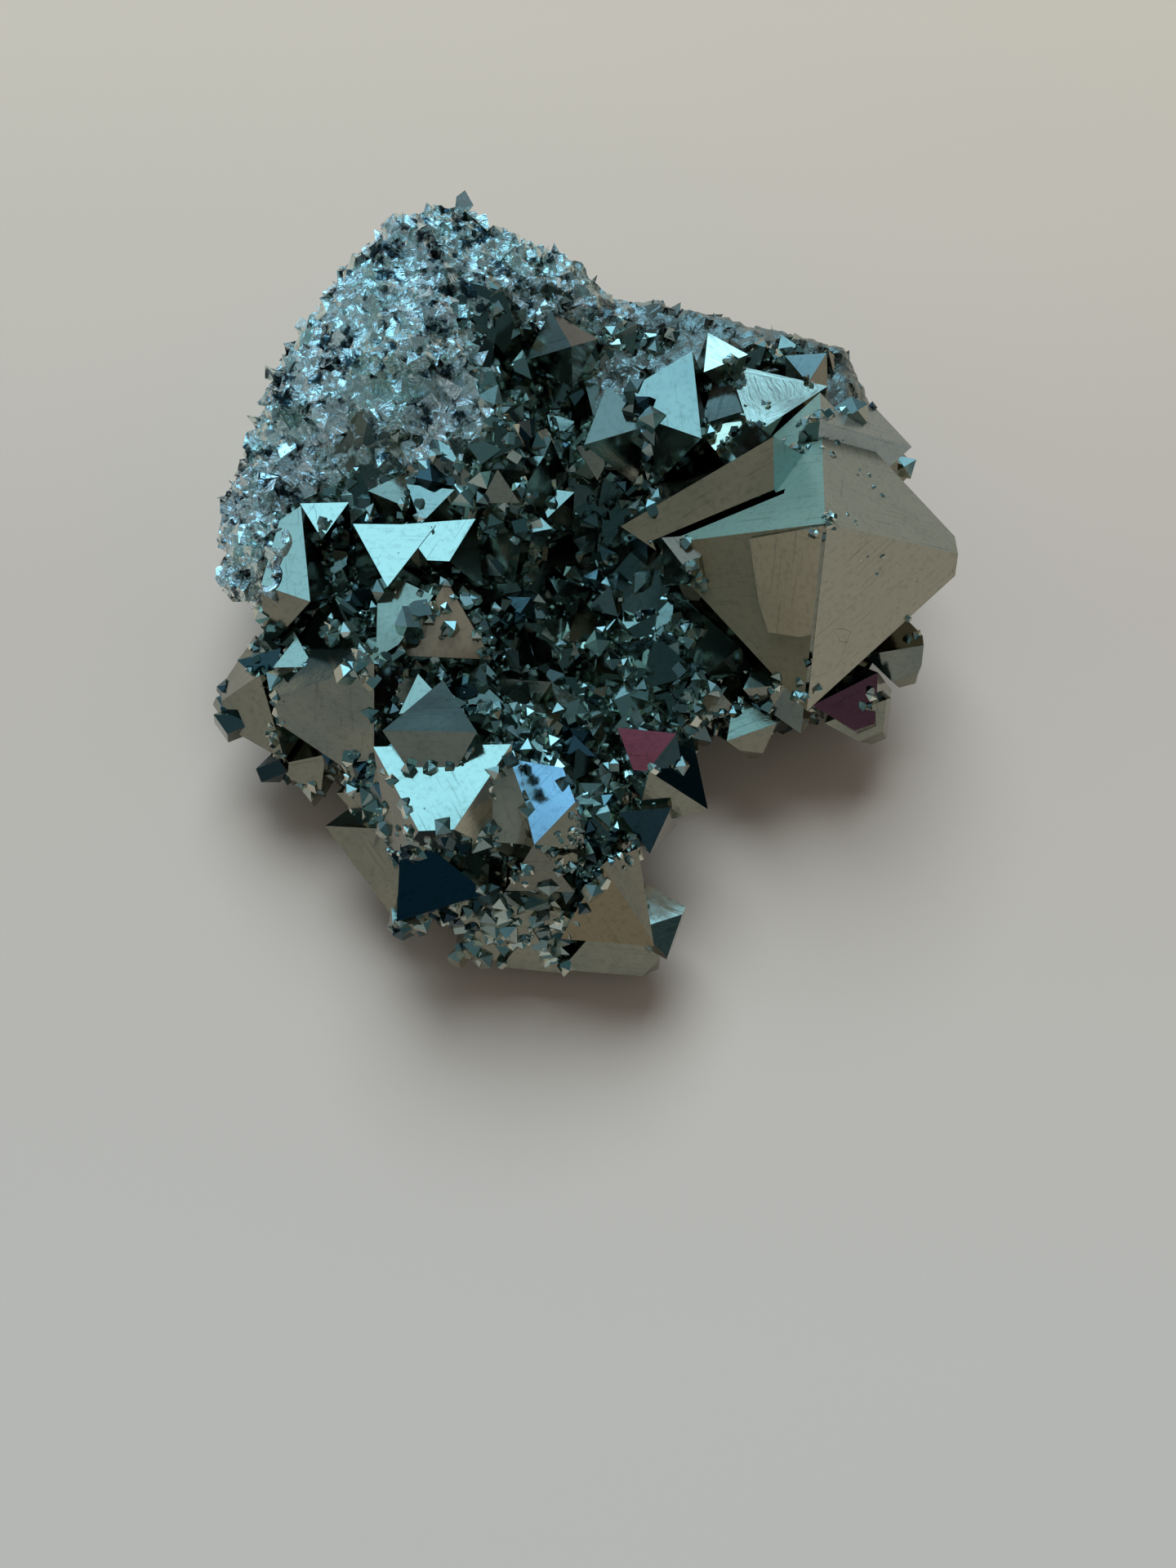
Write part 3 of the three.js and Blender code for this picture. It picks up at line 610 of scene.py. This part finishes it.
def spots(mask, spacing):
    """Points scattered over the masked faces, each with its face's normal."""
    mesh = cluster.data
    mesh.calc_loop_triangles()
    sides = np.array([t.vertices for t in mesh.loop_triangles])
    owner = np.array([t.polygon_index for t in mesh.loop_triangles])
    co = np.array([v.co for v in mesh.vertices])
    sides, owner = sides[mask[owner]], owner[mask[owner]]
    a, b, c = co[sides[:, 0]], co[sides[:, 1]], co[sides[:, 2]]
    size = np.linalg.norm(np.cross(b - a, c - a), axis=1) / 2
    tries = int(size.sum() / spacing**2 * TRIES)
    pick = rng.choice(len(sides), tries, p=size / size.sum())
    u, v = rng.uniform(size=(2, tries, 1))
    u, v = np.where(u + v > 1, 1 - u, u), np.where(u + v > 1, 1 - v, v)
    points = a[pick] + u * (b - a)[pick] + v * (c - a)[pick]
    points, kept = spread(points, spacing)
    return points, normals[owner[pick[kept]]]


def grow(
    name, form, points, sizes, material, lean, face_share=0.0, stretch=0.25, smooth=False,
    darkest=0.0,
):
    """One mesh of many small crystals, all of them above the resting surface. Their sizes
    are half their widths."""
    points_of_one, sides = form
    count = len(points)
    uneven = sizes[:, None] * rng.uniform(1 - stretch, 1 + stretch, (count, 3))
    local = points_of_one[None] * uneven[:, None, :]
    placed = np.einsum("nij,nkj->nki", turns(count, lean, face_share), local) + points[:, None]
    placed[:, :, 2] += np.maximum(LOWEST - placed[:, :, 2].min(1), 0)[:, None]
    starts = np.arange(count) * len(points_of_one)
    all_sides = [tuple(start + i for i in side) for start in starts.tolist() for side in sides]
    mesh = bpy.data.meshes.new(name)
    mesh.from_pydata(placed.reshape(-1, 3), [], all_sides)
    tone = mesh.attributes.new("tone", "FLOAT", "FACE")
    tone.data.foreach_set("value", np.repeat(rng.uniform(darkest, 1, count), len(sides)))
    obj = bpy.data.objects.new(name, mesh)
    bpy.context.scene.collection.objects.link(obj)
    alone(obj)
    if smooth:
        bpy.ops.object.shade_smooth()
    else:
        bpy.ops.object.shade_flat()
    dress(obj, material)


SPARKLE_DEPTH = 0.03 * MM

druse = finish("small_crystals")
place = druse.add("TexCoord").outputs["Object"]
tones = druse.add("Attribute", {"attribute_name": "tone"}).outputs["Fac"]
grit = druse.noise(place, 1800.0, 5.0, 0.7)
colour = druse.ramp(
    tones,
    (0.0, (0.03, 0.05, 0.06)),
    (0.28, (0.16, 0.20, 0.19)),
    (0.60, (0.46, 0.48, 0.40)),
    (1.0, (0.82, 0.80, 0.66)),
)
druse.put(druse.shader, "Base Color", colour)
druse.put(druse.shader, "Metallic", 1.0)
druse.put(druse.shader, "Roughness", druse.ramp(grit, (0.3, 0.06), (0.8, 0.3)))
druse.put(druse.shader, "Normal", druse.bump(grit, 0.3, SPARKLE_DEPTH))

# Larger crystals stand in the hollow, which is round, with a valley that leads out of it to
# the back. The terraces at the front and the right stay bare. Each crystal on the lump is
# sunk a little way into it.
BEAD_SPACING = 1.0 * MM
CRUST_SPACING = 2.2 * MM
HOLLOW_SPACING = 1.3 * MM
LUMP_SPACING = 0.85 * MM

hollow = (np.hypot(x - 0.5, y + 4.5) < 9.5) & (z < 12)
hollow |= (np.abs(x + 2.5) < 4.5) & (y > 3) & (y < 15.5)
hollow &= lump & ~in_crust & ~back_rim & (normals[:, 2] > -0.2)
terraces = (x > 8) & (y < 3) & (y > -12) & (z > 12)
terraces |= (x > 2.5) & (y < -20) & (x < 8)
terraces |= (x > 12) & (y < -5) & (normals[:, 2] > 0.2)
terraces |= (x > 16) & (y < -4) & (z > 3)
open_lump = lump & ~in_crust & ~back_rim & ~hollow & ~terraces

points, _ = spots(in_crust & (x < -16), BEAD_SPACING)
sizes = rng.uniform(0.3, 0.8, len(points)) * MM
grow("crust_beads", WORN, points, sizes, scales.owner, 1.0, stretch=0.35, smooth=True)

points, out = spots(in_crust & (y < 17) & (z > 6), CRUST_SPACING)
sizes = rng.uniform(0.3, 0.7, len(points)) * MM
points = points + out * 0.1 * MM
grow("crust_crystals", SHARP, points, sizes, druse.owner, 0.3, 0.6, darkest=0.45)

points, out = spots(hollow, HOLLOW_SPACING)
sizes = (0.5 + 1.4 * rng.uniform(size=len(points)) ** 2) * MM
grow("hollow_crystals", SHARP, points - out * 0.3 * MM, sizes, druse.owner, 0.35, 0.2)

points, out = spots(open_lump, LUMP_SPACING)
sizes = (0.35 + 0.95 * rng.uniform(size=len(points)) ** 2) * MM
grow("lump_grains", SHARP, points - out * sizes[:, None] * 0.3, sizes, druse.owner, 0.5, 0.2)

# Small crystals also stand along the valleys where one large crystal grows out of another,
# but not on the bare terraces or beside the crust.
VALLEY_SPACING = 0.9 * MM
STRAY = 0.12 * MM

starts, ends = (np.array(part) for part in zip(*valleys))
middles = (starts + ends) / 2 / MM
right, back, up = middles.T
bare = (right > 8) & (back < 3) & (back > -12) & (up > 11)
bare |= (right > 16) & (back < -5)
nearest = [cluster.closest_point_on_mesh(Vector(middle) * MM)[3] for middle in middles]
bare |= (in_crust | back_rim)[nearest]
starts, ends = starts[~bare], ends[~bare]
lengths = np.linalg.norm(ends - starts, axis=1)
count = int(lengths.sum() / VALLEY_SPACING)
pick = rng.choice(len(lengths), count, p=lengths / lengths.sum())
points = starts[pick] + rng.uniform(size=(count, 1)) * (ends - starts)[pick]
points += rng.normal(size=(count, 3)) * STRAY
sizes = (0.16 + 0.55 * rng.uniform(size=count) ** 3) * MM
grow("valley_crystals", SHARP, points, sizes, druse.owner, 0.4, 0.35, darkest=0.4)

# Clumps of them stand on the large crystals and between them. Each row has a clump's
# middle and radius in mm, its number of crystals, and the smallest and the largest of their
# sizes in mm.
CLUMPS = [
    (-15.0, -6.4, 1.2, 8, 0.3, 0.7),
    (-13.1, -10.3, 1.3, 10, 0.3, 0.8),
    (-12.0, -12.3, 0.9, 8, 0.25, 0.6),
    (-5.5, -12.1, 1.4, 12, 0.3, 0.8),
    (-8.4, -5.8, 1.6, 16, 0.25, 0.7),
    (-5.9, -5.6, 1.2, 10, 0.3, 0.8),
    (-5.5, -7.7, 0.9, 8, 0.25, 0.6),
    (0.9, -20.3, 1.4, 26, 0.15, 0.4),
    (-0.6, -21.6, 1.2, 14, 0.15, 0.45),
    (2.2, -20.8, 1.2, 14, 0.15, 0.45),
    (0.2, -20.6, 0.8, 18, 0.1, 0.3),
    (-6.8, -25.4, 1.2, 12, 0.3, 0.9),
    (-5.6, -24.4, 1.4, 14, 0.4, 1.0),
    (-1.6, -24.6, 1.4, 12, 0.4, 1.0),
    (-5.1, -21.1, 0.9, 8, 0.2, 0.5),
    (-3.6, -22.4, 0.8, 8, 0.2, 0.5),
    (14.3, -4.2, 0.9, 14, 0.15, 0.4),
    (17.3, -3.8, 1.6, 8, 0.08, 0.18),
    (18.0, 0.9, 1.2, 5, 0.10, 0.22),
    (15.3, 2.6, 1.3, 6, 0.12, 0.3),
    (21.3, -5.8, 0.8, 3, 0.2, 0.4),
    (14.0, -9.9, 1.0, 7, 0.25, 0.6),
    (6.8, -4.6, 1.4, 12, 0.3, 0.8),
    (4.5, 2.2, 1.4, 14, 0.3, 0.8),
    (9.6, 10.0, 1.0, 8, 0.2, 0.5),
    (14.6, 5.6, 1.1, 12, 0.2, 0.5),
    (3.9, 16.8, 1.4, 14, 0.3, 0.8),
    (6.6, 15.1, 1.2, 12, 0.3, 0.7),
    (-5.6, 0.5, 1.0, 8, 0.25, 0.7),
    (-3.5, 1.9, 1.0, 8, 0.25, 0.7),
    (-2.3, -13.7, 1.2, 9, 0.3, 0.9),
    (-3.3, -0.6, 1.2, 9, 0.3, 0.9),
    (1.7, -5.4, 1.8, 12, 0.4, 1.1),
    (2.7, -8.6, 1.6, 12, 0.4, 1.0),
    (-10.5, 0.3, 1.0, 8, 0.2, 0.5),
    (-15.9, 0.1, 1.0, 8, 0.2, 0.5),
    (18.7, -9.6, 0.9, 4, 0.25, 0.5),
    (-20.8, -7.2, 1.0, 8, 0.2, 0.5),
    (-19.1, -12.0, 1.0, 8, 0.2, 0.5),
    (-13.7, -14.9, 1.4, 14, 0.3, 0.8),
    (-12.2, -17.6, 1.2, 12, 0.25, 0.6),
    (-10.1, -20.4, 1.0, 8, 0.2, 0.5),
    (-0.5, -11.3, 1.3, 10, 0.3, 0.8),
    (3.4, -12.5, 1.0, 8, 0.25, 0.6),
    (-3.2, -11.7, 1.1, 8, 0.3, 0.7),
    (7.8, -9.5, 1.2, 12, 0.3, 0.7),
    (11.9, -9.7, 1.0, 6, 0.3, 0.6),
]
HIGH_ABOVE = 40  # mm, each crystal of a clump drops from here onto the cluster

points, sizes = [], []
for right, back, radius, count, smallest, largest in CLUMPS:
    for size in rng.uniform(smallest, largest, count) * MM:
        reach = radius * math.sqrt(rng.uniform())
        heading = rng.uniform(0, 2 * math.pi)
        offset = Vector((reach * math.cos(heading), reach * math.sin(heading), 0))
        above = (Vector((right, back, HIGH_ABOVE)) + offset) * MM
        hit, point, normal, _ = cluster.ray_cast(above, Vector((0, 0, -1)))
        if hit:
            points.append(point - normal * size * 0.2)
            sizes.append(size)
points, sizes = np.array(points), np.array(sizes)
grow("clumped_crystals", SHARP, points, sizes, druse.owner, 0.35, 0.35, darkest=0.45)

# The cluster is dressed last, because the crust starts as a plain copy of it.
dress(cluster, faces.owner, ground_rock.owner, edges.owner, scales.owner)
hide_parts("pyrite_cluster")

# The long edges of the large crystals are a little blunt; the bevels take the chipped finish with
# its painted highlights.
LONG_EDGE = 1.2 * MM
BLUNTNESS = 0.14 * MM

edit(cluster)
bpy.ops.mesh.select_mode(type="EDGE")
shell = bmesh.from_edit_mesh(cluster.data)
for edge in shell.edges:
    turn = edge.calc_face_angle_signed(0)
    sharp = min(abs(turn - OCTAHEDRON_TURN), abs(turn - STEP_TURN)) < TURN_SLACK
    edge.select_set(sharp and edge.calc_length() > LONG_EDGE)
bmesh.update_edit_mesh(cluster.data)
bpy.ops.mesh.bevel(
    offset=BLUNTNESS, segments=1, affect="EDGES", clamp_overlap=True, material=ON_EDGE
)
done()

# ---------------------------------------------------------------- the floor, the light, the camera
# A pale table stands in a dim room with one tall window behind it to the left. Its colour holds
# painted light, lighter and warmer towards the back and cooler at the front. A soft lamp lights
# the table from behind, and a warm, wide one above fills the shadows.

TABLE_WIDTH = 3  # m

bpy.ops.mesh.primitive_plane_add(size=TABLE_WIDTH)
floor = bpy.context.object
floor.name = "floor"
table = finish("pale_table")
place = table.add("TexCoord").outputs["Object"]
painted_light_falloff = table.add("SeparateXYZ", Vector=place).outputs["Y"]
painted_light_falloff = table.math("MULTIPLY_ADD", painted_light_falloff, 10.0, 0.5, clamp=True)
# painted light: the table's colour is lighter and warmer towards the back and cooler at the front
tint = table.ramp(
    painted_light_falloff,
    (0.0, (0.57, 0.61, 0.62)),
    (0.5, (0.57, 0.57, 0.545)),
    (1.0, (0.665, 0.66, 0.595)),
)
table.put(table.shader, "Base Color", tint)
table.put(table.shader, "Roughness", 0.6)
floor.data.materials.append(table.owner)

# Only what is polished mirrors the room, and it mirrors no lamp. The lamps light the rest.
STRENGTH = 5.0
TO_WINDOW = (-0.199, 0.611, 0.766)
TO_WALL = (-0.26, -0.96, 0.09)
TO_DARK_SIDE = (0.90, 0.42, 0.12)
LINTEL = (0.008, 0.020, 0.026, 1)
BACKDROP = (0.10, 0.10, 0.095, 1)

world = bpy.data.worlds.new("studio")
bpy.context.scene.world = world
room = Nodes(world, "Background")
way = room.add("TexCoord").outputs["Generated"]
height = room.add("SeparateXYZ", Vector=way).outputs["Z"]
window = room.ramp(
    room.dot(way, TO_WINDOW),
    (0.50, (0.010, 0.022, 0.028)),
    (0.73, (0.032, 0.062, 0.088)),
    (0.85, (0.050, 0.110, 0.155)),
    (0.927, (0.10, 0.24, 0.35)),
    (0.975, (0.168, 0.39, 0.57)),
)
window = room.mix(room.ramp(height, (0.87, 0.0), (0.93, 1.0)), window, LINTEL)
wall = room.ramp(room.dot(way, TO_WALL), (0.64, 0.0), (0.81, 0.034), (1.0, 0.060))
light = room.mix(1.0, window, wall, "ADD")
dark_side = room.ramp(room.dot(way, TO_DARK_SIDE), (0.80, 1.0), (0.93, 0.35))
light = room.mix(1.0, light, dark_side, "MULTIPLY")
seen = room.add("LightPath").outputs["Is Camera Ray"]
light = room.mix(seen, light, BACKDROP)
room.put(room.shader, "Color", light)
room.put(room.shader, "Strength", STRENGTH)
world.cycles_visibility.diffuse = False

for name, energy, breadth, tint, way in [
    ("lamp", 2.25, 0.7, (1.0, 0.99, 0.97), (-0.05, 0.55, 0.83)),
    ("fill", 0.70, 2.4, (1.0, 0.79, 0.62), (0.0, -0.1, 1.0)),
]:
    bpy.ops.object.light_add(type="SUN")
    lamp = bpy.context.object
    lamp.name = name
    lamp.data.energy = energy
    lamp.data.angle = breadth
    lamp.data.color = tint
    lamp.rotation_euler = Vector(way).to_track_quat("Z", "Y").to_euler()
    lamp.visible_glossy = False

CAMERA_PLACE = (0.57 * MM, -62.203 * MM, 137 * MM)
CAMERA_TILT = math.radians(20)

bpy.ops.object.camera_add(location=CAMERA_PLACE, rotation=(CAMERA_TILT, 0, 0))
camera = bpy.context.object
camera.data.lens = 50
camera.data.clip_start = 0.01
bpy.context.scene.camera = camera
bpy.context.scene.view_settings.view_transform = "Standard"
